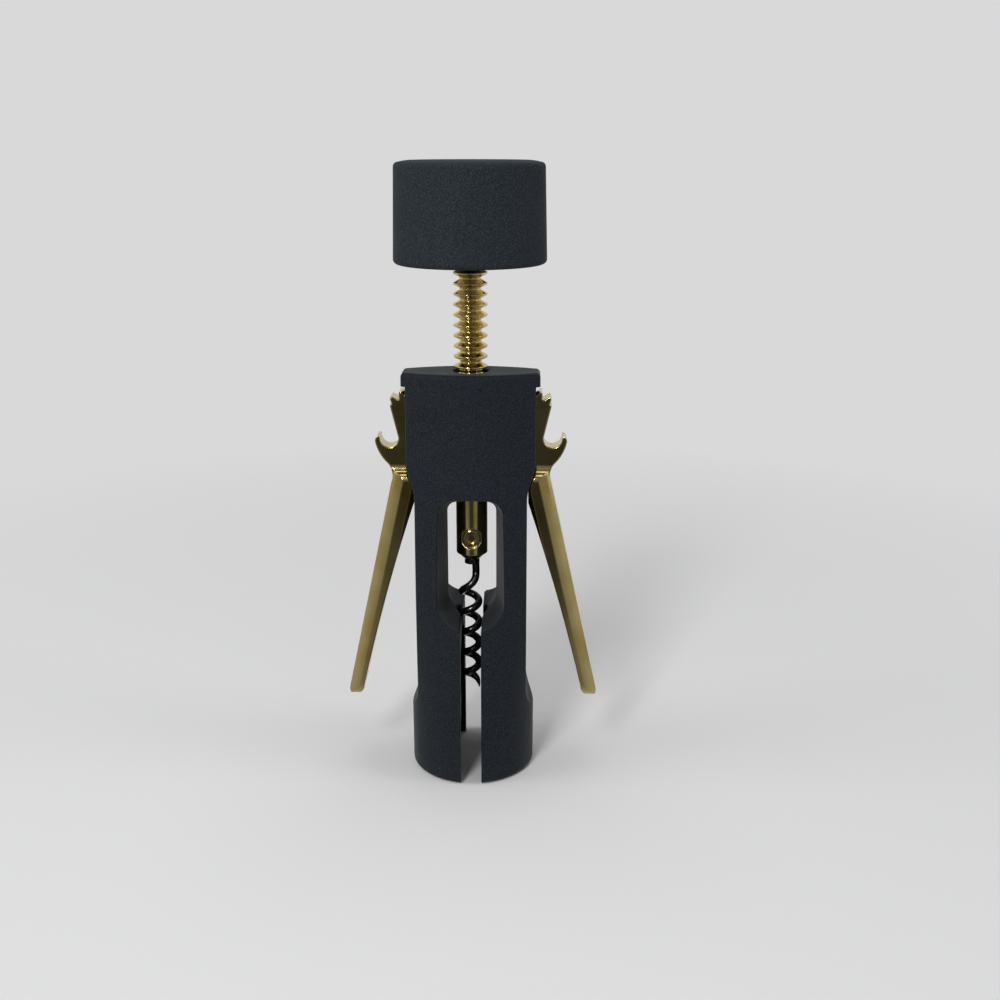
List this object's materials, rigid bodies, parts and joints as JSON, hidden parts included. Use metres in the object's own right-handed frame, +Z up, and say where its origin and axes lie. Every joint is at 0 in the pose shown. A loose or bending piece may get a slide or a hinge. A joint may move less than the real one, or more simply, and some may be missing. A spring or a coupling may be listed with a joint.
{
  "type": "wing corkscrew",
  "caption": "Closed wing corkscrew with a slotted bell that sits on a bottle neck, geared levers with cap hooks, a ring rack spindle, a helical worm and a round turning handle.",
  "frame": {"origin": "centre of the bell's rim, which is the lowest face of the closed corkscrew", "axes": "+Z up along the spindle towards the handle, +X towards the right-hand lever, -Y towards the front window"},
  "size_m": [0.0724, 0.0412, 0.1729],
  "materials": {
    "frame_coating": "satin",
    "lever_plating": "polished",
    "pin_steel": "satin",
    "bush_nylon": "matte",
    "worm_coating": "gloss",
    "handle_coating": "matte",
    "handle_plastic": "matte"
  },
  "bodies": {
    "frame": {"frame": "frame_coating", "bush_ring": "pin_steel", "lever_pin_left": "pin_steel", "lever_pin_right": "pin_steel"},
    "guide_bush": {"guide_bush": "bush_nylon"},
    "spindle": {"rack_spindle": "lever_plating", "worm": "worm_coating", "worm_rivet": "pin_steel", "handle_shell": "handle_coating", "handle_base": "handle_plastic", "handle_pin": "pin_steel"},
    "lever_left": {"lever_left": "lever_plating"},
    "lever_right": {"lever_right": "lever_plating"}
  },
  "joints": [
    {"name": "handle_turn", "type": "hinge", "parent": "frame", "child": "guide_bush", "pos_m": [0, 0, 0.115], "axis": [0, 0, 1], "continuous": true},
    {"name": "spindle_slide", "type": "slide", "parent": "guide_bush", "child": "spindle", "axis": [0, 0, -1], "range_m": [0, 0.0237]},
    {"name": "lever_left_pivot", "type": "hinge", "parent": "frame", "child": "lever_left", "pos_m": [-0.01492, 0, 0.101], "axis": [0, 1, 0], "range_deg": [0, 122]},
    {"name": "lever_right_pivot", "type": "hinge", "parent": "frame", "child": "lever_right", "pos_m": [0.01492, 0, 0.101], "axis": [0, -1, 0], "range_deg": [0, 122]}
  ],
  "couplings": [
    {"joint": "lever_left_pivot", "follows": "spindle_slide", "rad_per_m": 89.76},
    {"joint": "lever_right_pivot", "follows": "spindle_slide", "rad_per_m": 89.76}
  ]
}
